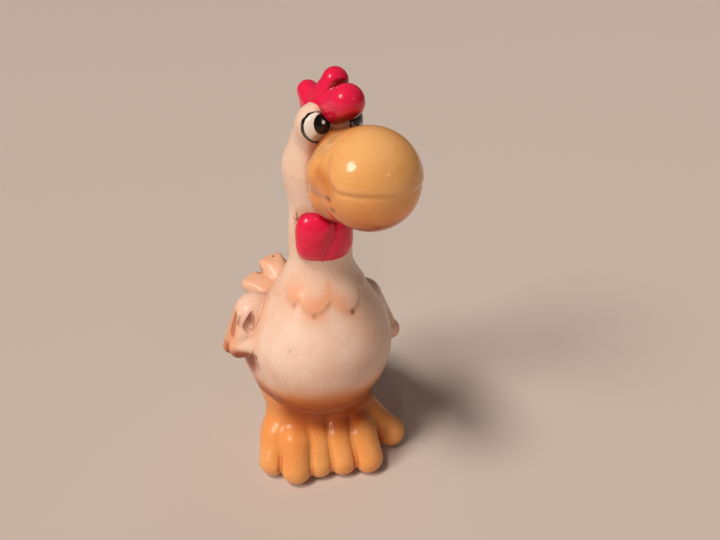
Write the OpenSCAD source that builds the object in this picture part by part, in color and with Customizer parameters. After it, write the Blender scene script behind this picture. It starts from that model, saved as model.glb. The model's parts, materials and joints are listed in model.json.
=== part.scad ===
// Hollow glazed ceramic hen figurine, standing on its own feet.
// Millimetres. +Z is up, the hen faces -Y and its left side is +X.
// The origin is the middle of the flat base that it stands on.

/* [Body] */
// Radius of the round body
body_r = 29.5; // [27:0.5:31]
// Height of the middle of the body
body_z = 58.5; // [56:0.5:61]
// Radius of the rump, which hangs low at the back
rump_r = 21; // [19:0.5:22]
// Radius of the neck where it leaves the body
neck_r = 11.5; // [10.5:0.5:12.5]
// Thickness of the cast clay wall
wall = 4.5; // [3.5:0.5:5]

/* [Head] */
// Radius of the head below the eyes
head_r = 12.4; // [12:0.1:13.5]
// Height of the widest part of the head
head_z = 134; // [132:0.5:137]
// Height of the crown, under the comb
crown_z = 154; // [152:0.5:156]
// How far the head is turned to the hen's left, in degrees
head_turn = 18; // [0:1:25]
// Radius of the bulge that carries each eye
brow_r = 7.1; // [6.8:0.1:7.6]
// Radius of each eye
eye_r = 5.2; // [4.5:0.1:6]
// How far each eye stands out of its bulge
eye_relief = 0.9; // [0.6:0.1:1.2]

/* [Beak] */
// Radius of the bulbous beak
beak_r = 16.7; // [15:0.1:18]
// Distance from the neck's axis to the middle of the beak
beak_reach = 35; // [32:0.5:37]
// Height of the middle of the beak
beak_z = 138; // [136:0.5:140]

/* [Wings and tail] */
// Distance from the body's middle plane to a wing tip
wing_span = 42; // [40:0.5:44]
// How far the wings and tail are turned to the hen's right, in degrees
torso_turn = 5; // [0:1:8]
// Height of the wing tips
wing_tip_z = 47; // [44:0.5:50]
// Radius of each wing feather's rounded end
feather_r = 4.4; // [4:0.1:5]
// Radius of each tail plume
plume_r = 6; // [5:0.1:6.5]

/* [Feet] */
// Radius of each leg
leg_r = 13; // [12:0.5:14]
// Radius of each toe
toe_r = 6.6; // [6:0.1:7]
// Diameter of the kiln vents, which let air out of the hollows
vent_d = 3.6; // [2:0.1:3.8]

/* [Hidden] */

$fn = 96;
lobe_fn = 24;

// The rump's middle, and how far each of its round ends is from the middle.
rump = [0, 18, body_z - 12.5];
rump_half = 9.5;
// Where the body's round stops and the neck's flare begins, as an angle above its middle.
flare_angle = 38;
// Heights at which the neck is straight-sided.
neck_z = body_z + 42;
throat_z = 110;
throat_r = neck_r - 0.4;

// Middle of an eye's bulge: sideways, forward and up.
brow = [4.8, -10.2, crown_z - 2.4];
// Direction in which an eye looks: outward from straight ahead, and down.
gaze = 26;
gaze_down = 5;

// Middle of the beak's root, inside the front of the head.
root = [0, -17, beak_z - 5];
root_r = 13.4;

// Comb lobes, each as its root, its tip, its root radius and its tip radius.
comb_lobes = [
    [[0, -14, crown_z + 1.5], [0, -22, crown_z + 6.5], 5.2, 6],
    [[0, -11, crown_z + 1], [0, -15.4, crown_z + 11.8], 5.8, 4.2],
    [[0, -7, crown_z - 1], [0, 2.6, crown_z + 6], 5, 4]
];

// Wattle lobes, in the same form.
wattle_lobes = [
    [[-4.6, -9, 114], [-5.4, -9, 107.4], 6.2, 6.8],
    [[6, -8.6, 114], [6.4, -8.4, 107], 6, 6.4]
];

// Wing feathers from front to back: how far back each tip is, and how much shorter the
// feather is than the longest one.
wing_feathers = [[6, 3], [15, 0], [23.5, 2.5]];
shoulder = [body_r - 5, 8, body_z + 9.5];
shoulder_r = 7.5;

// Tail plumes: sideways place of the root and the tip, how far back the tip is, its height.
plume_center = [0, 0, 41, 87];
plume_inner = [7, 12.1, 38.7, 82];
plume_outer = [13, 21.8, 35.6, 74];
plume_root_y = 19;
plume_root_z = body_z + 7;

// Toes from the hen's right to its left: sideways place and how far forward the tip is.
toes = [[-27, 23], [-18, 30.5], [-7.5, 29.5], [2.8, 31], [14, 33], [28, 20.5]];
instep_z = 14;
instep_r = 8;
instep_back = 14;
toe_spread = 0.88;
web_r = 9;
leg_x = 12.6;
leg_y = -1.5;
leg_top_z = 40;
leg_taper = 1.2;
// Side of the block that cuts the underside flat.
ground = 120;

vent_r = vent_d / 2;
overshoot = 1;

// Points on a smooth curve from a to d that leaves towards b and arrives from c.
function curve(a, b, c, d, steps) =
    [for (i = [0 : steps])
        let (t = i / steps, s = 1 - t)
        s * s * s * a + 3 * s * s * t * b + 3 * s * t * t * c + t * t * t * d];

// Points on an arc about [0, z], from one angle to another, with radii r across and h up.
function arc(z, r, h, from, to, steps) =
    [for (i = [0 : steps])
        let (angle = from + (to - from) * i / steps)
        [r * cos(angle), z + h * sin(angle)]];

// Right half of the body, neck and head, shrunk by an inset all round.
function body_profile(inset) =
    let (
        r = body_r - inset,
        flare = [r * cos(flare_angle), body_z + r * sin(flare_angle)],
        slope = [-sin(flare_angle), cos(flare_angle)],
        nape = [neck_r - inset, neck_z],
        throat = [throat_r - inset, throat_z],
        cheek = [head_r - inset, head_z]
    )
    concat(
        arc(body_z, r, r, -90, flare_angle - 6, 20),
        curve(flare, flare + 7 * slope, nape - [0, 9], nape, 8),
        curve(throat, throat + [0, 8], cheek - [0, 8], cheek, 6),
        arc(head_z, head_r - inset, crown_z - head_z - inset, 10, 90, 8)
    );

// Places its children in the frame of the wings and tail.
module in_torso() {
    rotate([0, 0, torso_turn])
        children();
}

// Places its children in the head's own frame, which is turned about the neck.
module in_head() {
    rotate([0, 0, head_turn])
        children();
}

// A rounded lobe between two points, each with its own radius.
module lobe(from, to, from_r, to_r) {
    hull() {
        translate(from) sphere(r = from_r, $fn = lobe_fn);
        translate(to) sphere(r = to_r, $fn = lobe_fn);
    }
}

// The rump: a short bar with round ends across the back of the body.
module rump_form(inset) {
    in_torso()
        translate(rump) {
            for (side = [-1, 1])
                translate([side * rump_half, 0, 0])
                    sphere(r = rump_r - inset);
            rotate([0, 90, 0])
                cylinder(r = rump_r - inset, h = 2 * rump_half, center = true);
        }
}

// The round body with its rump, the neck and the head, shrunk by an inset all round.
module trunk_form(inset) {
    rotate_extrude()
        polygon(body_profile(inset));
    rump_form(inset);
}

// Outside of the body, neck and head as one solid.
module body_form() {
    trunk_form(0);
    in_head()
        for (side = [-1, 1])
            translate([side * brow.x, brow.y, brow.z])
                sphere(r = brow_r);
}

// The beak's outside: one round solid about a line from its root to its nose.
module beak_form(inset) {
    run = beak_reach + root.y;
    rise = beak_z - root.z;
    length = sqrt(run * run + rise * rise);
    bulb = beak_r - inset;
    neck = root_r - inset;
    translate(root)
        rotate([90 - atan2(rise, run), 0, 0])
            rotate_extrude()
                polygon(concat(
                    arc(0, neck, neck, -90, 0, 8),
                    curve([neck, 2], [neck, 6], [bulb, length - 8], [bulb, length - 2], 6),
                    arc(length, bulb, bulb, 0, 90, 14)
                ));
}

// Body, neck and head, cast hollow, with the joint faces of the legs and beak vented.
module body_casting() {
    color("antiquewhite")
        difference() {
            body_form();
            trunk_form(wall);
            translate([0, 0, body_z - body_r - overshoot])
                cylinder(r = vent_r, h = wall + 2 * overshoot);
            in_head()
                translate([0, 0, root.z])
                    rotate([90, 0, 0])
                        cylinder(r = vent_r, h = head_r + overshoot);
        }
}

// One leg's upright outside.
module leg_form(side) {
    translate([side * leg_x, leg_y, 0])
        cylinder(r1 = leg_r, r2 = leg_r - leg_taper, h = leg_top_z);
}

// Both legs and feet, cast as one piece with a flat base, six toes and a vented hollow.
module foot_casting() {
    cavity_z = body_z - body_r - wall;
    color("sandybrown")
        difference() {
            union() {
                leg_form(-1);
                leg_form(1);
                for (toe = toes)
                    lobe([toe_spread * toe[0], instep_back - toe[1], instep_z],
                         [toe[0], toe_r - toe[1], toe_r - 0.8], instep_r, toe_r);
                translate([0, leg_y, 0])
                    cylinder(r = web_r, h = body_z - body_r);
            }
            translate([-ground / 2, -ground / 2, -ground])
                cube(ground);
            body_form();
            for (side = [-1, 1])
                translate([side * leg_x, leg_y, wall])
                    cylinder(r = leg_r - wall, h = cavity_z - wall);
            translate([-leg_x, leg_y, cavity_z / 2])
                rotate([0, 90, 0])
                    cylinder(r = vent_r, h = 2 * leg_x);
            translate([0, 0, cavity_z / 2])
                cylinder(r = vent_r, h = body_z);
            translate([leg_x, leg_y, -overshoot])
                cylinder(r = vent_r, h = wall + 2 * overshoot);
        }
}

// Bulbous beak, cast hollow and joined to the front of the head, where it is vented.
module beak() {
    color("sandybrown")
        difference() {
            in_head() beak_form(0);
            body_form();
            in_head()
                difference() {
                    beak_form(wall);
                    translate([0, 0, head_z - beak_r - wall])
                        cylinder(r = head_r + wall, h = 2 * (beak_r + wall) + root_r);
                }
            in_head()
                translate([0, 0, root.z])
                    rotate([90, 0, 0])
                        cylinder(r = vent_r, h = head_r + wall + 2 * overshoot);
        }
}

// Three fat lobes standing along the top of the head.
module comb() {
    color("crimson")
        difference() {
            in_head()
                for (part = comb_lobes)
                    lobe(part[0], part[1], part[2], part[3]);
            body_form();
            in_head() beak_form(0);
        }
}

// Two fat lobes hanging side by side on the front of the throat.
module wattle() {
    color("crimson")
        difference() {
            for (part = wattle_lobes)
                lobe(part[0], part[1], part[2], part[3]);
            body_form();
            in_head() beak_form(0);
        }
}

// A shallow dome laid on its bulge, looking forward and outward.
module eye(side) {
    color("white")
        difference() {
            in_head()
                translate([side * brow.x, brow.y, brow.z])
                    rotate([90 + gaze_down, 0, side * gaze])
                        intersection() {
                            sphere(r = brow_r + eye_relief);
                            cylinder(r = eye_r, h = 2 * brow_r);
                        }
            body_form();
            in_head() beak_form(0);
            in_head()
                for (part = comb_lobes)
                    lobe(part[0], part[1], part[2], part[3]);
        }
}

module right_eye() {
    eye(-1);
}

module left_eye() {
    eye(1);
}

// A stubby wing of three feathers, spread out and back from the side of the body.
module wing(side) {
    color("linen")
        difference() {
            in_torso()
                for (feather = wing_feathers)
                    lobe([side * shoulder.x, shoulder.y, shoulder.z],
                         [side * (wing_span - feather_r - feather[1]), feather[0],
                          wing_tip_z + feather[1]],
                         shoulder_r, feather_r);
            body_form();
        }
}

module right_wing() {
    wing(-1);
}

module left_wing() {
    wing(1);
}

// One plume's outside, from the back of the body to its rounded tip.
module plume_form(side, plume) {
    in_torso()
        lobe([side * plume[0], plume_root_y, plume_root_z],
             [side * plume[1], plume[2] - plume_r, plume[3] - plume_r],
             plume_r + 1, plume_r);
}

// The plumes lie side by side: each stops at the ones nearer the middle.
module tail_plume_center() {
    color("navajowhite")
        difference() {
            plume_form(1, plume_center);
            body_form();
        }
}

module inner_plume(side) {
    color("navajowhite")
        difference() {
            plume_form(side, plume_inner);
            plume_form(1, plume_center);
            body_form();
        }
}

module outer_plume(side) {
    color("navajowhite")
        difference() {
            plume_form(side, plume_outer);
            plume_form(side, plume_inner);
            plume_form(1, plume_center);
            body_form();
        }
}

module tail_plume_right() {
    inner_plume(-1);
}

module tail_plume_left() {
    inner_plume(1);
}

module tail_plume_outer_right() {
    outer_plume(-1);
}

module tail_plume_outer_left() {
    outer_plume(1);
}

body_casting();
foot_casting();
beak();
comb();
wattle();
right_eye();
left_eye();
right_wing();
left_wing();
tail_plume_center();
tail_plume_right();
tail_plume_left();
tail_plume_outer_right();
tail_plume_outer_left();
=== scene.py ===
"""A glazed ceramic hen figurine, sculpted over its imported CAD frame.

Every visible piece is carved from one set of smooth distance fields, so that neighbours share
their surface and meet in soft creases, as clay does under a glaze. Fields and paint work in
millimetres in the row frame: +Z is up, the hen faces -Y and its left side is +X.
"""

import json
import math

import bpy
import numpy as np
import openvdb
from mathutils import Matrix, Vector


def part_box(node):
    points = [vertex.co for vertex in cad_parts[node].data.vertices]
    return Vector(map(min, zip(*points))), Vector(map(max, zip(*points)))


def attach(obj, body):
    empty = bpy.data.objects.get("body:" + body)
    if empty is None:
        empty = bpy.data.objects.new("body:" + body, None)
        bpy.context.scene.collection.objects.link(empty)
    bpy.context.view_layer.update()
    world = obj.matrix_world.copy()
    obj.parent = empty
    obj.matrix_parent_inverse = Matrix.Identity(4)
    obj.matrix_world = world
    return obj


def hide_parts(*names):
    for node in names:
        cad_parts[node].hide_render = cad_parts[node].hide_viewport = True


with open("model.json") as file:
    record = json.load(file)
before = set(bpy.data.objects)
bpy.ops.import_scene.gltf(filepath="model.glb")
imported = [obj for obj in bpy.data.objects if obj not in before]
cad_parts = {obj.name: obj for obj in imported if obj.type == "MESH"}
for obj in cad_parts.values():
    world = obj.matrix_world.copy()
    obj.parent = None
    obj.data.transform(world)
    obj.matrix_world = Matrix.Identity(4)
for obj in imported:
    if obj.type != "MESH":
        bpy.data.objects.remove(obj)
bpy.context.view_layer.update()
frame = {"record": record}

MM = 0.001


def node_box(node):
    """Lowest and highest corners of a CAD node, in millimetres."""
    low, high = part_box(node)
    return np.array(low) / MM, np.array(high) / MM


# ---------------------------------------------------------------- driving sizes

# The round body's radius and middle, and the brow bulges on top of the head.
BODY_LOW, BODY_HIGH = node_box("body_casting")
BODY_R = (BODY_HIGH[0] - BODY_LOW[0]) / 2
BODY_Z = BODY_LOW[2] + BODY_R
BROW_R = 7.1
BROW_Z = BODY_HIGH[2] - BROW_R
# Heights of the comb's foot and tip and of the beak's middle, and the left wing's reach.
CROWN_Z = BROW_Z + 1.8
COMB_TOP = node_box("comb")[1][2]
BEAK_Z = 138
WING_SPAN = node_box("left_wing")[1][0]
# Degrees that the head and the torso are turned to the hen's left.
HEAD_TURN = 18
TORSO_TURN = 5

# ---------------------------------------------------------------- distance fields

# Keeps divisions and powers away from nought.
TINY = 1e-6
# Points worked on at a time, to save memory.
CHUNK = 400_000
# How square a pillow is in its lower and its upper half, 2 being round, and how steeply its
# field rises.
PILLOW_LOWER = 4.0
PILLOW_UPPER = 2.4
PILLOW_SLOPE = 1.15


def vec(*values):
    """A point or a direction, or the sizes along each axis."""
    return np.array(values, np.float32)


def turned(p, degrees):
    """Points as seen from a frame turned about the vertical axis."""
    c, s = math.cos(math.radians(degrees)), math.sin(math.radians(degrees))
    return np.stack([p[:, 0] * c + p[:, 1] * s, p[:, 1] * c - p[:, 0] * s, p[:, 2]], 1)


def head_space(p):
    """Points as the head sees them: it is turned on the neck to the hen's left."""
    return turned(p, HEAD_TURN)


def torso_space(p):
    """Points as the wings and tail see them: the torso is turned a little on its legs."""
    return turned(p, TORSO_TURN)


def mirrored(p):
    """Points folded onto the hen's left side."""
    return np.stack([np.abs(p[:, 0]), p[:, 1], p[:, 2]], 1)


def azimuth(p):
    """Angle round the vertical axis, from 0 straight ahead of the hen."""
    return np.arctan2(p[:, 0], -p[:, 1])


def smooth_step(x):
    """Smooth rise from 0 at or below 0 to 1 at or above 1."""
    x = np.clip(x, 0, 1)
    return x * x * (3 - 2 * x)


def ball(p, centre, radius):
    """Distance from a ball."""
    return np.linalg.norm(p - vec(*centre), axis=1) - radius


def ellipsoid(p, centre, radii):
    """Near distance from an ellipsoid."""
    q = p - vec(*centre)
    radii = vec(*radii)
    near = np.linalg.norm(q / radii, axis=1)
    slope = np.linalg.norm(q / (radii * radii), axis=1)
    return near * (near - 1) / np.maximum(slope, TINY)


def lobe(p, start, end, start_r, end_r):
    """A round lobe between two points, each with its own radius."""
    start, end = vec(*start), vec(*end)
    along = end - start
    length2 = float(along @ along)
    shrink = start_r - end_r
    side2 = length2 - shrink * shrink
    offset = p - start
    y = offset @ along
    z = y - length2
    x2 = ((offset * length2 - np.outer(y, along)) ** 2).sum(1)
    y2, z2 = y * y * length2, z * z * length2
    edge = np.sign(shrink) * shrink * shrink * x2
    d = (np.sqrt(x2 * side2 / length2) + y * shrink) / length2 - start_r
    d = np.where(np.sign(z) * side2 * z2 > edge, np.sqrt(x2 + z2) / length2 - end_r, d)
    return np.where(np.sign(y) * side2 * y2 < edge, np.sqrt(x2 + y2) / length2 - start_r, d)


def line(p, start, end):
    """Distance from a straight line between two points."""
    return lobe(p, start, end, 0, 0)


def pillow(p, centre, radii):
    """A lump like an ellipsoid, but squarer seen along Y, and squarest in its lower half."""
    q = (p - vec(*centre)) / vec(*radii)
    squareness = np.where(q[:, 2] < 0, PILLOW_LOWER, PILLOW_UPPER)
    q = np.maximum(np.abs(q), TINY)
    face = (q[:, 0] ** squareness + q[:, 2] ** squareness) ** (1 / squareness)
    near = np.sqrt(face ** 2 + q[:, 1] ** 2)
    return (near - 1) * min(radii) * PILLOW_SLOPE


def score(d, p, start, end, width, depth):
    """Presses a soft groove along a line into a field's surface."""
    near = line(p, start, end) / width
    return d + depth * np.exp(-near * near)


def join(a, b, soft):
    """Union of two fields with a soft crease."""
    h = np.maximum(soft - np.abs(a - b), 0) / soft
    return np.minimum(a, b) - h * h * soft / 4


def join_all(fields, soft):
    """Union of several fields with soft creases."""
    out = fields[0]
    for field in fields[1:]:
        out = join(out, field, soft)
    return out


def cut(a, b, soft):
    """Intersection of two fields with a rounded edge."""
    return -join(-a, -b, soft)


def in_chunks(work, points):
    """Does a piece of work on a long array of points, a chunk at a time."""
    return np.concatenate([work(points[i:i + CHUNK]) for i in range(0, len(points), CHUNK)])


def gradient(field, points, step=0.05):
    """Unit direction in which a field rises fastest at each point."""
    sides = []
    for axis in range(3):
        nudge = np.zeros(3, np.float32)
        nudge[axis] = step
        sides.append(field(points + nudge) - field(points - nudge))
    slope = np.stack(sides, 1)
    return slope / np.maximum(np.linalg.norm(slope, axis=1, keepdims=True), 1e-9)


def settle(field, points, rounds=2, reach=0.3):
    """Moves points onto the field's surface along its slope."""
    for _ in range(rounds):
        points = points - gradient(field, points) * np.clip(field(points), -reach, reach)[:, None]
    return points


# ---------------------------------------------------------------- body, neck and head

# Middles and radii of the round body, the rump, the back of the head and the forehead.
TORSO = ((0, 1.5, BODY_Z), (BODY_R, BODY_R + 1.5, BODY_R))
RUMP = ((0, 18, BODY_Z - 10), (34, 21, 20))
SKULL = ((0, -0.5, BEAK_Z - 5), (12.1, 12.6, 15))
FOREHEAD = ((0, -4.5, BROW_Z - 7), (10.4, 10, 11))
BROW = (4.9, -10.2, BROW_Z)
# Lower and upper half of the neck: the ends and the radii of each.
LOWER_NECK = ((0.4, 0, 84), (0.8, 0, 105), 14.5, 11.3)
UPPER_NECK = ((0.8, 0, 105), (0.4, 0, 132), 11.3, 12)

# Each scallop of the cape's lower edge: its angle round the neck in degrees and its tip's height.
SCALLOPS = [(-164, 82), (-128, 84), (-88, 82), (-49, 82.9), (-19, 80), (23, 79.2), (62, 83),
            (100, 82), (142, 84)]
SCALLOP_CURVE = 34
CAPE_RELIEF = 0.6
CAPE_EDGE = 2.6
# Height from which the cape's relief fades into the neck, and how far up that takes.
CAPE_TOP = 80
CAPE_FADE = 16


def wrapped(angle):
    """The same angle, between minus and plus half a turn."""
    return (angle + math.pi) % (2 * math.pi) - math.pi


def cape_height(p):
    """How far a point is above the neck cape's scalloped lower edge."""
    around = azimuth(p)
    edges = [z + SCALLOP_CURVE * wrapped(around - math.radians(a)) ** 2 for a, z in SCALLOPS]
    return p[:, 2] - np.min(edges, axis=0)


def body_form(p):
    """Round body, rump, neck with its scalloped cape, and head with two brow bulges."""
    torso = join(ellipsoid(p, *TORSO), ellipsoid(torso_space(p), *RUMP), soft=12)
    neck = join(lobe(p, *LOWER_NECK), lobe(p, *UPPER_NECK), soft=6)
    d = join(torso, neck, soft=14)
    edge = smooth_step(cape_height(p) / CAPE_EDGE + 0.2)
    d = d - CAPE_RELIEF * edge * (1 - smooth_step((p[:, 2] - CAPE_TOP) / CAPE_FADE))
    h = head_space(p)
    d = join(d, ellipsoid(h, *SKULL), soft=4)
    d = join(d, ellipsoid(h, *FOREHEAD), soft=5)
    for side in (-1, 1):
        d = join(d, ball(h, (side * BROW[0], BROW[1], BROW[2]), BROW_R), soft=5)
    return d


# ---------------------------------------------------------------- eyes

EYE_R = 5.2
EYE_RELIEF = 0.9
EYE_BEVEL = 1.6
# The way each eye looks: outwards from straight ahead of the head, and upwards.
GAZE = {-1: math.radians(26), 1: math.radians(36)}
GAZE_UP = math.radians(1)

# Pupil and glint, a painted highlight, of each eye, measured across and up its disc from the middle.
PUPIL = {-1: (1.6, 1.3), 1: (-1.8, 1.7)}
GLINT = {-1: (2.0, 1.9), 1: (-1.3, -0.7)}
PUPIL_WIDTH = 2.9
PUPIL_HEIGHT = 3.3
GLINT_R = 0.6
# The black outline: how far it lies inside the disc's edge, and its half width, which swells
# towards the outer and lower side.
RIM_INSET = 0.25
RIM_THIN = 0.12
RIM_SWELL = 0.42
# Nothing is painted less far out along the gaze than this: all distances are made far there.
EYE_FRONT = 2
FAR = 9


def eye_frame(side):
    """Middle of an eye's bulge and the unit direction it looks in, both in head space."""
    gaze = GAZE[side]
    direction = vec(side * math.sin(gaze) * math.cos(GAZE_UP),
                    -math.cos(gaze) * math.cos(GAZE_UP), math.sin(GAZE_UP))
    return vec(side * BROW[0], BROW[1], BROW[2]), direction


def eye_form(p, side):
    """A shallow round dome on a brow bulge."""
    h = head_space(p)
    centre, direction = eye_frame(side)
    q = h - centre
    along = q @ direction
    across = np.linalg.norm(q - np.outer(along, direction), axis=1)
    dome = np.linalg.norm(q, axis=1) - (BROW_R + EYE_RELIEF)
    return cut(cut(dome, across - EYE_R, EYE_BEVEL), -along, soft=0.5)


def eye_distances(head, side):
    """Millimetres from the edges of one eye's pupil, its painted highlight and its round outline."""
    centre, direction = eye_frame(side)
    across = np.cross(vec(0, 0, 1), direction)
    across /= np.linalg.norm(across)
    upward = np.cross(direction, across)
    q = head - centre
    x, y, out = q @ across, q @ upward, q @ direction
    (px, py), (gx, gy) = PUPIL[side], GLINT[side]
    pupil = (np.hypot((x - px) / PUPIL_WIDTH, (y - py) / PUPIL_HEIGHT) - 1) * PUPIL_WIDTH
    glint = np.hypot(x - gx, y - gy) - GLINT_R
    heavy = smooth_step(0.5 + 0.5 * (side * x * 0.6 - y * 0.8) / EYE_R)
    rim = np.abs(np.hypot(x, y) - EYE_R + RIM_INSET) - (RIM_THIN + RIM_SWELL * heavy)
    hidden = np.where(out < EYE_FRONT, FAR, 0)
    return pupil + hidden, glint + hidden, rim + hidden


# ---------------------------------------------------------------- beak, comb and wattle

# The beak's lumps, on the hen's left side in head space: the middle and the radii of each.
BULB = ((0, -35.3, BEAK_Z), (17.2, 17.6, 16.9))
ROOT = ((0, -20, 134), (12.6, 11, 16))
CHEEK = ((9, -27.5, 139.5), (8.3, 9.6, 7.4))
JAW = ((6, -25, 130.5), (9.2, 10.5, 8.4))
# Folds in the cheek and the jaw: the ends of each one's line, its half width and its depth.
CHEEK_FOLD = ((15, -34, 146.5), (16.9, -36, 141), 1.8, 0.7)
JAW_FOLD = ((14.6, -24, 133), (16.6, -37, 134.6), 1.4, 0.45)
# The mouth line: where it starts to rise towards its corners, how far it rises, and where it ends.
MOUTH_BEND = -42
MOUTH_RISE = 3.5
MOUTH_END = -34.5
LIP_OVERHANG = 0.36
MOUTH_DEPTH = 0.42


def beak_form(p):
    """Bulbous beak with cheeks, an overhanging upper half and a groove for the mouth."""
    h = mirrored(head_space(p))
    muzzle = join(ellipsoid(h, *BULB), ellipsoid(h, *ROOT), soft=8)
    d = join(muzzle, join(ellipsoid(h, *CHEEK), ellipsoid(h, *JAW), soft=4), soft=1.3)
    mouth_z = BEAK_Z + MOUTH_RISE * smooth_step((h[:, 1] - MOUTH_BEND) / 6)
    low = mouth_z - h[:, 2]
    ahead = smooth_step((MOUTH_END - h[:, 1]) / 3)
    lip = smooth_step(low / 1.4 + 0.5) * np.exp(-(np.maximum(low, 0) / 7) ** 2)
    groove = np.exp(-(low / 0.8) ** 2) * smooth_step(h[:, 0] / 13)
    d = d + ahead * (LIP_OVERHANG * lip + MOUTH_DEPTH * groove)
    d = score(d, h, *CHEEK_FOLD)
    return score(d, h, *JAW_FOLD)


# The comb's front, middle and back lobes and its ridge, in head space: the ends and the radii.
COMB_LOBES = [((-0.8, -16.6, CROWN_Z + 4), (-0.2, -22.8, CROWN_Z + 6.9), 5.1, 5.7),
              ((0, -10.2, CROWN_Z + 3), (1, -13.6, COMB_TOP - 4.5), 6.4, 4.5),
              ((0, -5, CROWN_Z + 1), (0, 3.2, CROWN_Z + 6.4), 5, 4)]
COMB_RIDGE = ((0, 1, CROWN_Z + 1), (0, -9.5, CROWN_Z + 7.5), 3.6, 3.8)


def comb_form(p):
    """Three fat lobes on a ridge along the top of the head."""
    h = head_space(p)
    lobes = join_all([lobe(h, *shape) for shape in COMB_LOBES], soft=1.2)
    return join(lobes, lobe(h, *COMB_RIDGE), soft=3)


WATTLE_TURN = math.radians(6)
WATTLE_Z = 108
THROAT_R = 11.4
# Radius at which the wattle is unrolled from the throat into a flat sheet.
SHEET_R = 12.5
# The wattle's lobes on that sheet: the middle and the radii of each.
RIGHT_WATTLE = ((-5.9, THROAT_R, 109.4), (7.4, 4.7, 9.5))
LEFT_WATTLE = ((6.3, THROAT_R, 108.8), (7.7, 4.1, 9.6))
# How much the crease between them leans, where it runs, the height below which it has faded
# out, and its depth.
WATTLE_SLANT = 0.4
WATTLE_CREASE_X = 0.4
WATTLE_CREASE_Z = 101
WATTLE_CREASE_DEPTH = 0.2


def wattle_form(p):
    """Two fat lobes side by side with a slanting crease, wrapped round the front of the throat."""
    around = azimuth(p) - WATTLE_TURN
    out = np.hypot(p[:, 0], p[:, 1])
    across = around * SHEET_R
    slant = WATTLE_SLANT * (p[:, 2] - WATTLE_Z) * np.exp(-(across / 4) ** 2)
    sheet = np.stack([across - slant, out, p[:, 2]], 1)
    crease = np.exp(-((sheet[:, 0] - WATTLE_CREASE_X) / 0.9) ** 2)
    crease *= smooth_step((p[:, 2] - WATTLE_CREASE_Z) / 4)
    lobes = join(pillow(sheet, *RIGHT_WATTLE), pillow(sheet, *LEFT_WATTLE), soft=1.8)
    return lobes + WATTLE_CREASE_DEPTH * crease


# ---------------------------------------------------------------- wings and tail

# Each wing's shoulder and long feather tip, on its own side.
WINGS = {-1: ((26.8, 8.5, 70), (WING_SPAN - 2.5, 14.5, 51.5)),
         1: ((22.5, 9, 67), (WING_SPAN - 1.8, 14.5, 44))}
# Hollows pressed between the feathers and above the thumb, in the right wing's place: the
# ends of each one's line, its half width at those ends and its depth.
FEATHER_HOLLOWS = [((29.2, 1.2, 74), (31, 1.2, 67.4), 0.1, 2.2, 1.7),
                   ((35.2, 6.8, 72), (37.8, 8, 62), 0.2, 0.9, 1.8),
                   ((34, 3.8, 71.4), (34.6, 4.6, 67.6), 0.1, 0.4, 1.1)]
HOLLOW_EDGE = 0.55


def wing_form(p, side):
    """A stubby wing: three feathers swept down and back, and a thumb that props the front one."""
    q = torso_space(p) * vec(side, 1, 1)
    shoulder, tip = np.array(WINGS[side][0]), np.array(WINGS[side][1])
    thumb_tip = tip + (-2.7, -7.5, 3)
    long_feather = lobe(q, shoulder, tip, 8.8, 3.6)
    rear_feather = lobe(q, shoulder, tip + (-4, 8.5, 1), 7.2, 3.8)
    front_feather = lobe(q, shoulder + (1.5, -3, -3), thumb_tip + (0.3, 0.5, 1), 5.6, 3.8)
    thumb = lobe(q, (26.5, 1.5, tip[2] + 8), thumb_tip, 5, 4.5)
    d = join(join_all([long_feather, rear_feather, front_feather], soft=1), thumb, soft=1)
    level = q - vec(0, 0, tip[2] - WINGS[-1][1][2])
    for start, end, start_r, end_r, depth in FEATHER_HOLLOWS:
        edge = np.maximum(lobe(level, start, end, start_r, end_r), 0) / HOLLOW_EDGE
        d = d + depth * np.exp(-edge * edge)
    return d


# Each plume's root and end, and its radius at both.
PLUMES = {
    "tail_plume_center": ((0, 20, 66), (1, 35.5, 80), 7, 5.8),
    "tail_plume_right": ((-7, 20, 66), (-13, 34.9, 78.5), 7.2, 5.8),
    "tail_plume_left": ((7, 20, 66), (12.1, 34.7, 78), 7.2, 5.8),
    "tail_plume_outer_right": ((-12, 18, 65), (-23.4, 31.4, 72.2), 7.2, 5.2),
    "tail_plume_outer_left": ((12, 18, 64), (21, 31.6, 69), 7.2, 5.2),
}
# The way that the flat slice on top of every plume faces.
PLUME_TOP = vec(-0.1, -0.1, 0.99)
# How far past its end point a plume is cut off, outwards and upwards, in radii of that end.
PLUME_CUT = 0.6
PLUME_SLICE = 0.55


def plume_form(p, name):
    """A stubby plume with a rounded end, sliced off nearly level on top."""
    start, end, start_r, end_r = PLUMES[name]
    q = torso_space(p)
    out = vec(*end) - vec(*start)
    out /= np.linalg.norm(out)
    past = q - vec(*end)
    stub = cut(lobe(q, start, end, start_r, end_r), past @ out - PLUME_CUT * end_r, soft=2)
    return cut(stub, past @ PLUME_TOP - PLUME_SLICE * end_r, soft=1)


# ---------------------------------------------------------------- legs and feet

# Each leg and the bar that joins them, from their upper to their lower ends, with the radii.
RIGHT_LEG = ((-13.5, 0, 36), (-14, -2, 14), 12.6, 13.6)
LEFT_LEG = ((8, 0, 36), (10, -2, 14), 10.8, 12.4)
LEG_BAR = ((-6, -5, 22), (5, -5, 22), 8, 8)
RIGHT_ANKLE = ((-16, -6, 12), 12.5)
LEFT_ANKLE = ((15, -6, 9), 11.5)
# Each toe's tip, sideways and forward, the height of its knuckle, and how far out the knuckle
# is as a share of the tip.
TOES = [(-27, 23.5, 13.5, 0.9), (-18.4, 31, 14.5, 0.9), (-8.1, 30, 14.5, 0.9),
        (2.2, 31.5, 14.5, 0.9), (13.3, 33.5, 14, 0.9), (28, 21, 9.5, 0.7)]
TOE_R = 6.8
KNUCKLE_R = 7.2
# How far each toe's round end is sunk into the ground, so that it rests on a flat.
TOE_SUNK = 0.6
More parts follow.
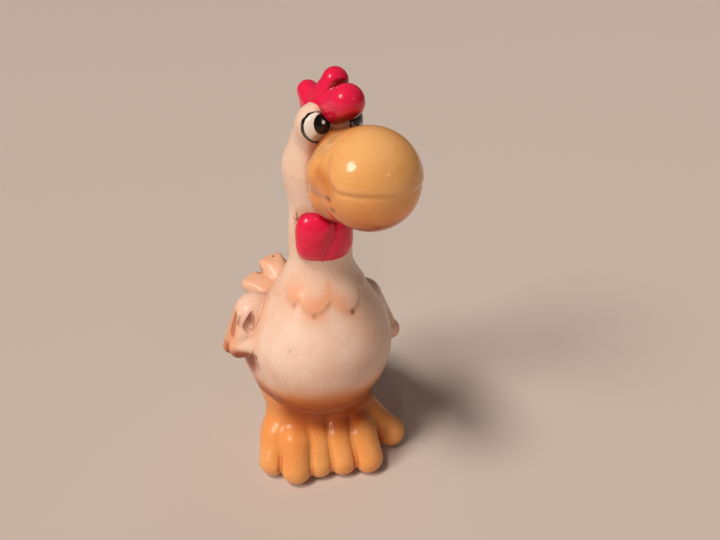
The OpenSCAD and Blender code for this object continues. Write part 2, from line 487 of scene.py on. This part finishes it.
# How far each toe's knuckle is behind its foremost point.
KNUCKLE_BACK = 13.5


def foot_form(p):
    """Two legs fused into one block of feet with six toes."""
    right = join(lobe(p, *RIGHT_LEG), ball(p, *RIGHT_ANKLE), soft=6)
    left = join(lobe(p, *LEFT_LEG), ball(p, *LEFT_ANKLE), soft=6)
    legs = join(join(right, left, soft=3), lobe(p, *LEG_BAR), soft=5)
    toes = []
    for x, reach, knuckle_z, spread in TOES:
        knuckle = (spread * x, KNUCKLE_BACK - reach, knuckle_z)
        toes.append(lobe(p, knuckle, (x, TOE_R - reach, TOE_R - TOE_SUNK), KNUCKLE_R, TOE_R))
    return join(legs, join_all(toes, soft=1.2), soft=6)


def above_ground(d, p):
    """A field cut off flat at the ground."""
    return cut(d, -p[:, 2], soft=0.8)


# ---------------------------------------------------------------- how the forms meet

PARTS = {
    "body_casting": body_form,
    "foot_casting": foot_form,
    "beak": beak_form,
    "comb": comb_form,
    "wattle": wattle_form,
    "right_eye": lambda p: eye_form(p, -1),
    "left_eye": lambda p: eye_form(p, 1),
    "right_wing": lambda p: wing_form(p, -1),
    "left_wing": lambda p: wing_form(p, 1),
}
for plume in PLUMES:
    PARTS[plume] = lambda p, name=plume: plume_form(p, name)

# How softly each part's clay runs into the parts it touches.
SOFTNESS = {
    "foot_casting": 13, "beak": 1.6, "comb": 1.0, "wattle": 1.0, "right_eye": 0.6, "left_eye": 0.6,
    "right_wing": 3, "left_wing": 3, "tail_plume_center": 2.5, "tail_plume_right": 2.5,
    "tail_plume_left": 2.5, "tail_plume_outer_right": 2.5, "tail_plume_outer_left": 2.5,
}
# The parts that each part touches, besides the body.
NEIGHBOURS = {
    "beak": ["comb", "wattle", "right_eye", "left_eye"],
    "comb": ["beak", "right_eye", "left_eye"],
    "wattle": ["beak"],
    "right_eye": ["beak", "comb"],
    "left_eye": ["beak", "comb"],
    "tail_plume_center": ["tail_plume_right", "tail_plume_left"],
    "tail_plume_right": ["tail_plume_center", "tail_plume_outer_right"],
    "tail_plume_left": ["tail_plume_center", "tail_plume_outer_left"],
    "tail_plume_outer_right": ["tail_plume_right"],
    "tail_plume_outer_left": ["tail_plume_left"],
}
# Under its neighbours the body falls away at a slope to a depth, and it ends inside them.
SEAM_SLOPE = 1.2
SEAM_DEPTH = 1.0
SEAM_END = 1.5
# Every other part stands proud by a hair and laps the seam a little.
PROUD = 0.03
LAP = 0.1


def fields_around(name, p):
    """The part's own field, the nearest other part's, and the whole hen's surface near it."""
    own = PARTS[name](p)
    on_body = name == "body_casting"
    others = list(SOFTNESS) if on_body else ["body_casting"] + NEIGHBOURS.get(name, [])
    nearest = None
    whole = own
    for other in others:
        d = PARTS[other](p)
        nearest = d if nearest is None else np.minimum(nearest, d)
        whole = join(whole, d, SOFTNESS[other] if on_body else SOFTNESS[name])
    return own, nearest, whole


def part_field(name, p):
    """The visible solid of one part: the whole hen, cut where another part is nearer."""
    own, nearest, whole = fields_around(name, p)
    beyond = own - nearest
    if name == "body_casting":
        solid = whole + np.clip(SEAM_SLOPE * beyond, 0, SEAM_DEPTH)
        return np.maximum(solid, beyond - SEAM_END)
    solid = np.maximum(whole - PROUD, beyond - LAP)
    return above_ground(solid, p) if name == "foot_casting" else solid


# ---------------------------------------------------------------- paint masks

# Round spots of airbrush, wash, specks and painted shade: the middle of each one, its radius and
# how strong it is.
SHOULDER_PEACH = [((-20, 12, 88), 20, 0.75), ((22, 6, 84), 18, 0.6)]
# Under the right wing's thumb: real brown and smears together with painted shade of the recess.
THUMB_UMBER = [((-31.5, 1.5, 50.5), 9.5, 3)]
THUMB_WASH_AND_SHADE = [((-29, -5, 54), 10, 0.9), ((-32, 2, 51), 8, 1.8)]
CAPE_SPECKS = [((8.9, -20, 79.5), 1.8, 2.2), ((-7, -20.2, 80.1), 1.8, 1),
               ((-13.9, -14, 82.5), 1.8, 0.8)]
BREAST_WASH = [((-16.8, -22.7, 66.3), 5, 0.5)]
# Brown below each eye.
BROWN_UNDER_EYES = [((9.4, -17.2, 146.4), 5, 0.45)]
MOUTH_CORNER = [((15.5, -31, 138), 13, 1.1)]
BEAK_PITS = [((-16.4, -36.7, 135.1), 1.8, 1.2), ((-15.7, -37.7, 131.6), 1.6, 1.2)]
PLUME_DOT = [((-12.2, 34.4, 81.6), 1.1, 1.8)]
# Brown lines: along a fold of the beak, and between two feathers of the right wing.
BEAK_FOLD = ((16.5, -31.4, 142), (16.3, -38, 138.7))
WING_SLIT = ((35.4, 6.8, 71), (38, 8, 61.5))

# Middle of the bridge between the brows, which is kept mostly free of crease wash and of painted
# shade, how wide and how well.
BRIDGE = (0, -16.5, 151.5)
BRIDGE_R = 8
BRIDGE_CLEARED = 0.8
# Angle round the neck at the middle of the cape's strongest peach, and its half width; then
# how far above the cape's edge the peach is strongest.
CAPE_FRONT = math.radians(-18)
CAPE_FRONT_HALF = 0.45
CAPE_PEACH = 3
# Height at which the belly's orange begins in the middle of the body, and how much lower it
# begins for each millimetre further back.
BELLY_EDGE = 45.5
BELLY_SLANT = 0.35
# Heights above which the orange on the head beside the beak is full, and below which the brown
# painted shade over the legs is.
ROOT_Z = 144
CROTCH_Z = 42
# Heights below which the beak's underside is fully orange, an airbrush laid thicker as painted
# shade, and fully brown painted shade.
BEAK_ORANGE_Z = 123
BEAK_SHADE_Z = 121.5
# Height above which the legs are fully orange, and the edges of the belly's brown shade on
# them: at the back and on the hen's right.
LEGS_Z = 22
SHADE_BACK = -4
SHADE_RIGHT = -16
# Height below which the brown and painted shade under the wing's thumb are full, and where a
# wing's peach edge begins, sideways and backwards.
THUMB_Z = 54
WING_EDGE = (33, 1)
# Height of the brush hairs beside the wattle, and the angle round the neck beyond which they
# are full.
HAIRS_Z = 118
HAIRS_EDGE = -0.95
# How far above the surface other clay is looked for, to find a crease and a wider hollow.
CREASE_REACH = 1.0
HOLLOW_REACH = 3.5


def fade(distance, width):
    """1 at and inside a surface, falling to 0 at a width outside it."""
    return 1 - smooth_step(distance / width)


def spot(points, centre, radius):
    """1 in the middle of a round spot of airbrush, fading to 0 at its radius."""
    return fade(ball(points, centre, 0), radius)


def spots(points, table):
    """The strength of several round spots together."""
    return sum(amount * spot(points, centre, radius) for centre, radius, amount in table)


def hollowness(name, points, normals, reach):
    """How much of the open space a reach above the surface is taken up by the hen."""
    above = fields_around(name, points + normals * np.float32(reach))[2]
    return np.clip(1 - above / reach, 0, 1)


def wattle_hairs(p):
    """Brush hairs of wash beside the wattle, on the hen's right."""
    level = fade(np.abs(p[:, 2] - HAIRS_Z) - 4, width=3)
    return 0.72 * fade(wattle_form(p), width=5) * level * fade(azimuth(p) - HAIRS_EDGE, width=0.4)


def body_paint(p, head):
    """Peach, orange, umber and wash on the body, neck and head, partly as painted shade."""
    beak, left_wing = beak_form(p), wing_form(p, 1)
    wings = np.minimum(wing_form(p, -1), left_wing)
    plumes = np.min([plume_form(p, name) for name in PLUMES], axis=0)
    front = fade(np.abs(azimuth(p) - CAPE_FRONT) - CAPE_FRONT_HALF, width=0.6)
    cape = np.exp(-((cape_height(p) - CAPE_PEACH) / 5) ** 2) * (0.1 + 0.85 * front)
    peach = cape + spots(p, SHOULDER_PEACH) + 0.8 * fade(plumes, width=7) + 0.45 * fade(wings, width=6)
    peach += 0.35 * fade(beak, width=6)

    below = BELLY_EDGE - BELLY_SLANT * p[:, 1] - p[:, 2]
    beside_beak = fade(beak - 0.3, width=3.5) * fade(ROOT_Z - p[:, 2], width=6)
    orange = 1.1 * smooth_step(below / 12) + 0.85 * beside_beak

    # Umber: brown painted shade where the body meets the legs and low on the belly, real brown with
    # painted shade under the right wing's thumb, and real specks on the cape.
    low = fade(p[:, 2] - CROTCH_Z, width=4)
    umber_and_shade = spots(p, THUMB_UMBER) + 1.1 * fade(foot_form(p) - 1, width=8) * low
    umber_and_shade += 0.7 * smooth_step((below - 6) / 9) + 0.14 * smooth_step((below + 15) / 15)
    umber_and_shade += spots(p, CAPE_SPECKS)

    # Wash: brush marks, with smears under the right wing's thumb that are partly painted shade.
    wash_and_shade = spots(p, THUMB_WASH_AND_SHADE)
    wash_and_shade += 0.25 * fade(left_wing, width=1.5) + spots(p, BREAST_WASH)
    wash_and_shade += spots(mirrored(head), BROWN_UNDER_EYES)
    wash_and_shade += wattle_hairs(p)
    return peach, orange, umber_and_shade, wash_and_shade


def beak_paint(p, head):
    """Orange in the mouth's corners, root and underside, with brown pits, folds and painted shade
    below.
    """
    folded = mirrored(head)
    root = fade(body_form(p) - 1, width=7)
    fold = fade(line(folded, *BEAK_FOLD), width=4)
    # Painted shade: orange laid on thicker, then brown, towards the underside.
    under = fade(head[:, 2] - BEAK_ORANGE_Z, width=20)
    orange = spots(folded, MOUTH_CORNER) + 1.4 * under + 0.6 * root
    dark = fade(head[:, 2] - BEAK_SHADE_Z, width=10)
    umber_and_shade = 0.5 * fold + 1.3 * dark + spots(head, BEAK_PITS)
    return np.zeros_like(root), orange, umber_and_shade, 0.3 * fold


def foot_paint(p):
    """Orange legs, brown painted shadow in front under the belly, and a little brown near the ground.
    """
    # Painted shadow of the belly on the legs: brown, with more orange.
    ahead = fade(p[:, 1] - SHADE_BACK, width=5)
    shaded = fade(body_form(p) - 1, width=14) * ahead * fade(SHADE_RIGHT - p[:, 0], width=10)
    orange = 0.5 * fade(LEGS_Z - p[:, 2], width=12) + 0.6 * shaded
    return np.zeros_like(shaded), orange, 1.5 * shaded, 0.25 * fade(p[:, 2], width=4)


def wing_paint(name, p):
    """Peach feather edges, brown and painted shade under the right wing's thumb, brown between
    feathers.
    """
    q = mirrored(torso_space(p))
    right = name == "right_wing"
    # Under the thumb: brown with painted shade of the recess.
    under = fade(body_form(p) - 4, width=5) * fade(p[:, 2] - THUMB_Z, width=4) * right
    slit = fade(line(q, *WING_SLIT) - 0.5, width=1.6) * right
    out, back = q[:, 0] - WING_EDGE[0], q[:, 1] - WING_EDGE[1]
    edge = smooth_step(out / 4) * smooth_step(back / 6)
    return 0.15 + 0.9 * edge, np.zeros_like(edge), 1.6 * under + 0.9 * slit, 0.5 * under


def plume_paint(name, p):
    """Peach towards the top, a brown dot on one plume, and wash where plumes meet the body."""
    q = torso_space(p)
    tip_z = PLUMES[name][1][2]
    peach = 0.12 + 0.45 * smooth_step((q[:, 2] - tip_z + 3) / 6)
    return peach, np.zeros_like(peach), spots(q, PLUME_DOT), 0.4 * fade(body_form(p), width=2.5)


def part_paint(name, p, head):
    """Peach, orange, umber and wash on any part, some of them as painted shade."""
    if name == "body_casting":
        return body_paint(p, head)
    if name == "beak":
        return beak_paint(p, head)
    if name == "foot_casting":
        return foot_paint(p)
    if name.endswith("wing"):
        return wing_paint(name, p)
    if name in PLUMES:
        return plume_paint(name, p)
    return np.zeros((4, len(p)), np.float32)


def paint(name, mesh, points):
    """Stores the part's painted areas on its vertices, for its glaze to read."""
    whole = lambda q: fields_around(name, q)[2]
    normals = in_chunks(lambda q: gradient(whole, q), points).astype(np.float32)
    head = head_space(points)
    clean = 1 - BRIDGE_CLEARED * spot(head, BRIDGE, BRIDGE_R)
    # Creases hold brown wash; hollows get painted shade.
    layers = {
        "crease": clean * hollowness(name, points, normals, CREASE_REACH),
        "hollow": clean * hollowness(name, points, normals, HOLLOW_REACH),
    }
    layers.update(zip(("peach", "orange", "umber_and_shade", "wash_and_shade"), part_paint(name, points, head)))
    eyes = [eye_distances(head, side) for side in (-1, 1)]
    layers.update(zip(("pupil", "glint", "rim"), np.minimum(*eyes)))
    for kind, values in layers.items():
        layer = mesh.attributes.new(kind, "FLOAT", "POINT")
        layer.data.foreach_set("value", np.asarray(values, np.float32))


# ---------------------------------------------------------------- meshing

# Grid points along each edge of a coarse block, and how near the surface has to be, in blocks,
# for a block to be sampled finely.
COARSE = 4
NEAR = 1.6
# Space left round a CAD node's box for its sculpted form, and the grid's value far outside it.
MARGIN = 8
BACKGROUND = 3.0
# Spacing of the grid in millimetres, for the largest parts and for all the others.
VOXELS = {"body_casting": 0.7, "foot_casting": 0.55, "beak": 0.5}
FINE_VOXEL = 0.4


def field_grid(field, low, counts, voxel):
    """Samples a field on a grid, finely only near its surface."""
    blocks = -(-counts // COARSE)
    middle = (COARSE - 1) / 2
    axes = [low[i] + (np.arange(blocks[i]) * COARSE + middle) * voxel for i in range(3)]
    centres = np.stack(np.meshgrid(*axes, indexing="ij"), -1).reshape(-1, 3).astype(np.float32)
    grid = in_chunks(field, centres).reshape(blocks)
    for axis in range(3):
        grid = np.repeat(grid, COARSE, axis=axis)
    near = np.abs(grid) < COARSE * voxel * NEAR
    points = (vec(*low) + np.argwhere(near) * np.float32(voxel)).astype(np.float32)
    grid[near] = in_chunks(field, points)
    return np.ascontiguousarray(grid, np.float32)


def sculpt(name, voxel):
    """Meshes one part's solid, in metres, as an object named after it."""
    low, high = node_box(name)
    low, high = low - MARGIN, high + MARGIN
    counts = np.ceil((high - low) / voxel).astype(int)
    field = lambda p: part_field(name, p)
    grid = openvdb.FloatGrid(background=BACKGROUND)
    grid.copyFromArray(field_grid(field, low, counts, voxel))
    points, quads = grid.convertToQuads(isovalue=0.0)
    points = (points * voxel + low).astype(np.float32)
    points = in_chunks(lambda p: settle(field, p), points)
    mesh = bpy.data.meshes.new(name)
    mesh.from_pydata((points * MM).tolist(), [], quads[:, ::-1].tolist())
    mesh.validate()
    mesh.update()
    piece = bpy.data.objects.new(name + "_clay", mesh)
    bpy.context.scene.collection.objects.link(piece)
    mesh.polygons.foreach_set("use_smooth", [True] * len(mesh.polygons))
    paint(name, mesh, points)
    return piece


# ---------------------------------------------------------------- camera, light and floor

CAMERA_AZIMUTH = math.radians(-16)
CAMERA_PITCH = math.radians(28)
# Where the camera stands, in metres: away from the hen, to its own right and above the floor.
CAMERA_AWAY = 0.197
CAMERA_ASIDE = 0.0166
CAMERA_HEIGHT = 0.194
SENSOR_WIDTH = 36
LENS = 27.05

FLOOR_R = 12
FLOOR_COLOUR = (0.62, 0.54, 0.49)
FLOOR_ROUGHNESS = 0.7
ROOM = ((1.0, 0.85, 0.77), 0.075)
BACKDROP = ((0.80, 0.77, 0.74), 0.85)

# Each sun: the way to it, its strength, its spread in degrees, its colour and whether it is
# mirrored in the glaze.
SUNS = {
    "key": ((-0.74, -0.26, 0.61), 1.4, 20, (1.0, 0.92, 0.85), True),
    "lamp": ((-0.40, -0.12, 0.91), 1.75, 14, (1.0, 0.90, 0.80), False),
    "front": ((-0.28, -0.91, 0.28), 0.4, 8, (1.0, 0.84, 0.74), False),
    "window": ((0.38, -0.81, 0.42), 0.06, 8, (1.0, 0.95, 0.92), True),
    "rim": ((0.55, 0.65, 0.5), 0.2, 40, (1.0, 0.88, 0.80), False),
}


def add_camera():
    """A camera at the photograph's viewing angle, a little above the hen and to its right."""
    data = bpy.data.cameras.new("camera")
    data.sensor_width = SENSOR_WIDTH
    data.lens = LENS
    data.clip_start = 0.01
    camera = bpy.data.objects.new("camera", data)
    outward = Vector((math.sin(CAMERA_AZIMUTH), -math.cos(CAMERA_AZIMUTH), 0))
    rightward = Vector((math.cos(CAMERA_AZIMUTH), math.sin(CAMERA_AZIMUTH), 0))
    place = outward * CAMERA_AWAY + rightward * CAMERA_ASIDE + Vector((0, 0, CAMERA_HEIGHT))
    camera.location = place
    camera.rotation_euler = (math.pi / 2 - CAMERA_PITCH, 0, CAMERA_AZIMUTH)
    bpy.context.scene.collection.objects.link(camera)
    bpy.context.scene.camera = camera


def add_sun(name, towards, strength, spread, colour, mirrors):
    """A large soft light so far away that the floor is evenly lit."""
    data = bpy.data.lights.new(name, "SUN")
    data.energy = strength
    data.angle = math.radians(spread)
    data.color = colour
    light = bpy.data.objects.new(name, data)
    light.rotation_euler = Vector(towards).to_track_quat("Z", "Y").to_euler()
    light.visible_glossy = mirrors
    bpy.context.scene.collection.objects.link(light)


def add_floor():
    """A plain pale floor, wide enough to fill the view behind the hen."""
    bpy.ops.mesh.primitive_circle_add(vertices=96, radius=FLOOR_R, fill_type="NGON")
    floor = bpy.context.object
    floor.name = "floor"
    material = bpy.data.materials.new("pale_floor")
    material.use_nodes = True
    shader = material.node_tree.nodes["Principled BSDF"]
    shader.inputs["Base Color"].default_value = (*FLOOR_COLOUR, 1)
    shader.inputs["Roughness"].default_value = FLOOR_ROUGHNESS
    floor.data.materials.append(material)


def add_world():
    """Dim light from all round, and a pale backdrop where the view passes the floor's edge."""
    world = bpy.data.worlds.new("world")
    world.use_nodes = True
    nodes, links = world.node_tree.nodes, world.node_tree.links
    room, backdrop = nodes["Background"], nodes.new("ShaderNodeBackground")
    for background, (colour, strength) in ((room, ROOM), (backdrop, BACKDROP)):
        background.inputs["Color"].default_value = (*colour, 1)
        background.inputs["Strength"].default_value = strength
    seen, mix = nodes.new("ShaderNodeLightPath"), nodes.new("ShaderNodeMixShader")
    links.new(seen.outputs["Is Camera Ray"], mix.inputs[0])
    links.new(room.outputs[0], mix.inputs[1])
    links.new(backdrop.outputs[0], mix.inputs[2])
    links.new(mix.outputs[0], nodes["World Output"].inputs["Surface"])
    bpy.context.scene.world = world


bpy.context.scene.view_settings.view_transform = "Standard"
add_camera()
add_floor()
add_world()
for name, sun in SUNS.items():
    add_sun(name, *sun)

# ---------------------------------------------------------------- glazes


class Glaze:
    """One glaze, built up layer by layer on a Principled shader, in millimetres."""

    def __init__(self, name):
        self.material = bpy.data.materials.new(name)
        self.material.use_nodes = True
        self.tree = self.material.node_tree
        self.shader = self.tree.nodes["Principled BSDF"]
        place = self.tree.nodes.new("ShaderNodeTexCoord")
        scale = self.tree.nodes.new("ShaderNodeVectorMath")
        scale.operation = "SCALE"
        scale.inputs["Scale"].default_value = 1 / MM
        self.tree.links.new(place.outputs["Object"], scale.inputs[0])
        self.place = scale.outputs["Vector"]

    def feed(self, value, socket):
        """Sets a socket to a number or a colour, or links another node's output to it."""
        if isinstance(value, (int, float)):
            socket.default_value = value
        elif isinstance(value, tuple):
            socket.default_value = (*value, 1)
        else:
            self.tree.links.new(value, socket)

    def painted(self, kind):
        """One of the areas painted on the vertices."""
        node = self.tree.nodes.new("ShaderNodeAttribute")
        node.attribute_name = kind
        return node.outputs["Fac"]

    def maths(self, operation, a, b=0.0, c=0.0):
        """The result of one sum on numbers or sockets."""
        node = self.tree.nodes.new("ShaderNodeMath")
        node.operation = operation
        for value, socket in zip((a, b, c), node.inputs):
            self.feed(value, socket)
        return node.outputs[0]

    def swing(self, noise, size):
        """Noise moved to lie evenly about 0, and scaled."""
        return self.maths("MULTIPLY", self.maths("SUBTRACT", noise, 0.5), size)

    def swung(self, value, noise, size):
        """A value moved up and down by noise."""
        return self.maths("MULTIPLY_ADD", self.maths("SUBTRACT", noise, 0.5), size, value)

    def ramp(self, value, low, high):
        """0 below one value, 1 above another and smooth between; reversed when low > high."""
        node = self.tree.nodes.new("ShaderNodeMapRange")
        node.interpolation_type = "SMOOTHSTEP"
        self.feed(value, node.inputs["Value"])
        rising = low < high
        node.inputs["From Min"].default_value = min(low, high)
        node.inputs["From Max"].default_value = max(low, high)
        node.inputs["To Min"].default_value = 0 if rising else 1
        node.inputs["To Max"].default_value = 1 if rising else 0
        return node.outputs["Result"]

    def scaled(self, scale, shift=0.0):
        """The place on the hen, scaled and shifted."""
        mapping = self.tree.nodes.new("ShaderNodeMapping")
        mapping.inputs["Scale"].default_value = scale
        mapping.inputs["Location"].default_value = (shift, shift, shift)
        self.tree.links.new(self.place, mapping.inputs["Vector"])
        return mapping.outputs["Vector"]

    def noise(self, size, detail=3, stretch=(1, 1, 1), shift=0.0):
        """Cloudy noise whose features are about a size in millimetres."""
        node = self.tree.nodes.new("ShaderNodeTexNoise")
        node.inputs["Scale"].default_value = 1
        node.inputs["Detail"].default_value = detail
        place = self.scaled([1 / (size * s) for s in stretch], shift)
        self.tree.links.new(place, node.inputs["Vector"])
        return node.outputs["Fac"]

    def pinholes(self, spacing, radius, share):
        """Small round spots in a share of the cells of a pattern, 1 in their middles."""
        cells = self.tree.nodes.new("ShaderNodeTexVoronoi")
        self.tree.links.new(self.scaled((1 / spacing,) * 3), cells.inputs["Vector"])
        split = self.tree.nodes.new("ShaderNodeSeparateColor")
        self.tree.links.new(cells.outputs["Color"], split.inputs["Color"])
        chosen = self.ramp(split.outputs["Red"], 1 - share, 1 - share + 0.02)
        size = self.maths("MULTIPLY", split.outputs["Green"], radius / spacing)
        inside = self.maths("SUBTRACT", size, cells.outputs["Distance"])
        return self.maths("MULTIPLY", self.ramp(inside, 0, 0.3 * radius / spacing), chosen)

    def layer(self, under, over, amount):
        """A colour laid over another by an amount."""
        node = self.tree.nodes.new("ShaderNodeMix")
        node.data_type = "RGBA"
        sockets = [socket for socket in node.inputs if socket.enabled]
        for value, socket in zip((amount, under, over), sockets):
            self.feed(value, socket)
        return [socket for socket in node.outputs if socket.enabled][0]

    def finish(self, colour, gloss, height, depth):
        """Wires the colour, the roughness and the height of the glaze's waves and dimples."""
        self.feed(colour, self.shader.inputs["Base Color"])
        self.feed(gloss, self.shader.inputs["Roughness"])
        bump = self.tree.nodes.new("ShaderNodeBump")
        bump.inputs["Strength"].default_value = 1
        bump.inputs["Distance"].default_value = depth * MM
        self.feed(height, bump.inputs["Height"])
        self.tree.links.new(bump.outputs["Normal"], self.shader.inputs["Normal"])
        self.tree.links.new(bump.outputs["Normal"], self.shader.inputs["Coat Normal"])
        return self.material


BROWN = (0.24, 0.035, 0.014)
BLACK = (0.008, 0.005, 0.005)
HIGHLIGHT_WHITE = (0.8, 0.76, 0.74)
# The airbrushed colours, in the order that they are sprayed; umber also lays brown painted shade.
SPRAYS = {"peach": (0.82, 0.35, 0.17), "orange": (0.80, 0.27, 0.06), "umber_and_shade": (0.32, 0.055, 0.010)}

# Each glaze's light and deep tones, the darker tone laid as painted shade in hollows, and how
# much brown antiquing wash stays in the creases.
TONES = {
    "cream_glaze": ((0.88, 0.66, 0.53), (0.80, 0.52, 0.38), (0.60, 0.27, 0.15), 0.55),
    "wing_glaze": ((0.88, 0.64, 0.51), (0.80, 0.48, 0.35), (0.44, 0.17, 0.11), 0.8),
    "plume_glaze": ((0.88, 0.63, 0.48), (0.82, 0.47, 0.32), (0.50, 0.20, 0.11), 0.6),
    "beak_glaze": ((0.86, 0.46, 0.17), (0.80, 0.37, 0.11), (0.50, 0.14, 0.03), 0.35),
    "foot_glaze": ((0.84, 0.39, 0.12), (0.78, 0.29, 0.08), (0.50, 0.11, 0.02), 0.3),
    "red_glaze": ((0.88, 0.020, 0.095), (0.70, 0.006, 0.035), (0.30, 0.001, 0.008), 0.1),
    "eye_glaze": ((0.86, 0.80, 0.74), (0.80, 0.70, 0.62), (0.45, 0.28, 0.20), 0.4),
}

SATIN = ("cream_glaze", "wing_glaze", "plume_glaze", "foot_glaze")
# How rough a satin and a shiny glaze are at their smoothest, then the weight and the roughness
# of the clear coat over them and the shine of the colour under it.
SATIN_FINISH = (0.34, 0.35, 0.2, 0.24)
SHINY_FINISH = (0.24, 0.7, 0.1, 0.12)
# Spacing and radius of the pinholes, and the share of the places for them that have one.
PINHOLES = (5, 0.55, 0.22)
# Depth of the waves and dimples in the glaze, in millimetres.
WAVE_DEPTH = 0.12


def brushed(g, light, deep, cloud, grain):
    """The glaze's own colour, clouded and streaked by the brush."""
    clouds = g.maths("ADD", cloud, g.maths("MULTIPLY", grain, 0.35))
    strokes = g.noise(2.2, 3, (0.6, 0.6, 5), shift=8.1)
    colour = g.layer(light, deep, g.ramp(clouds, 0.45, 0.95))
    return g.layer(colour, deep, g.maths("MULTIPLY", g.ramp(strokes, 0.5, 0.75), 0.2))


def sprayed(g, colour, cloud, grain):
    """The airbrushed colours, a little uneven, umber also laying brown painted shade."""
    uneven = g.swung(g.maths("MULTIPLY", cloud, 0.5), grain, 0.25)
    for kind, tone in SPRAYS.items():
        amount = g.maths("MULTIPLY", g.painted(kind), g.maths("ADD", uneven, 0.72))
        amount = g.maths("MINIMUM", g.maths("MULTIPLY", amount, 0.85), 0.9)
        colour = g.layer(colour, tone, amount)
    return colour


def antiquing(g, grain, washed):
    """How much brown wash stays in the creases and where it is brushed on, some of it painted shade.
    """
    dark = g.maths("MULTIPLY", g.ramp(g.swung(g.painted("crease"), grain, 0.5), 0.2, 0.75), washed)
    bristles = g.noise(1.2, 4, (0.6, 0.6, 2), shift=11.3)
    smears = g.ramp(g.swung(g.painted("wash_and_shade"), bristles, 2.2), 0.5, 0.9)
    return g.maths("MINIMUM", g.maths("ADD", dark, g.maths("MULTIPLY", smears, 0.85)), 0.92)


def outlined(g, slot, colour):
    """The eyes' black outline, which also touches the head, their pupils and their painted highlights.
    """
    wobble = g.swing(g.noise(1.6, 4, shift=5.3), 0.9)
    rim = g.maths("MULTIPLY_ADD", wobble, 0.7, g.painted("rim"))
    colour = g.layer(colour, BLACK, g.ramp(rim, 0.12, -0.08))
    if slot == "eye_glaze":
        pupil = g.maths("MULTIPLY_ADD", wobble, 0.3, g.painted("pupil"))
        colour = g.layer(colour, BLACK, g.ramp(pupil, 0.12, -0.1))
        # Painted highlight: a pale spot on each pupil.
        colour = g.layer(colour, HIGHLIGHT_WHITE, g.ramp(g.painted("glint"), 0.1, -0.15))
    return colour


def glaze(slot):
    """Brushed and sprayed colour under a clear glaze, with brown wash and painted shade in the
    hollows.
    """
    light, deep, shade_tone, washed = TONES[slot]
    g = Glaze(slot)
    cloud = g.noise(14, 4)
    grain = g.noise(1.1, 5, shift=3.7)
    colour = sprayed(g, brushed(g, light, deep, cloud, grain), cloud, grain)
    # Painted shade: a darker tone where the hen's own clay closes round a hollow.
    hollow = g.maths("MULTIPLY_ADD", grain, 0.12, g.painted("hollow"))
    colour = g.layer(colour, shade_tone, g.ramp(hollow, 0.12, 0.75))
    wash_and_shade = antiquing(g, grain, washed)
    colour = g.layer(colour, BROWN, wash_and_shade)
    holes = g.pinholes(*PINHOLES)
    colour = g.layer(colour, BROWN, g.maths("MULTIPLY", holes, 0.75))
    if slot in ("cream_glaze", "eye_glaze"):
        colour = outlined(g, slot, colour)

    waves = g.maths("MULTIPLY_ADD", grain, 0.10, g.noise(5, 2, shift=1.9))
    height = g.maths("SUBTRACT", waves, g.maths("MULTIPLY", holes, 0.5))
    smoothest, coat, coat_roughness, shine = SATIN_FINISH if slot in SATIN else SHINY_FINISH
    rough = g.maths("MULTIPLY_ADD", grain, 0.16, smoothest)
    gloss = g.maths("MULTIPLY_ADD", wash_and_shade, 0.2, rough)
    g.shader.inputs["Coat Weight"].default_value = coat
    g.shader.inputs["Coat Roughness"].default_value = coat_roughness
    g.shader.inputs["Specular IOR Level"].default_value = shine
    return g.finish(colour, gloss, height, WAVE_DEPTH)


# ---------------------------------------------------------------- the hen

SLOTS = {row["node"]: row["material_slot"] for row in frame["record"]["subparts"]}
MATERIALS = {slot: glaze(slot) for slot in TONES}

for name in PARTS:
    piece = sculpt(name, VOXELS.get(name, FINE_VOXEL))
    piece.data.materials.append(MATERIALS[SLOTS[name]])
    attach(piece, "root")
    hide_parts(name)
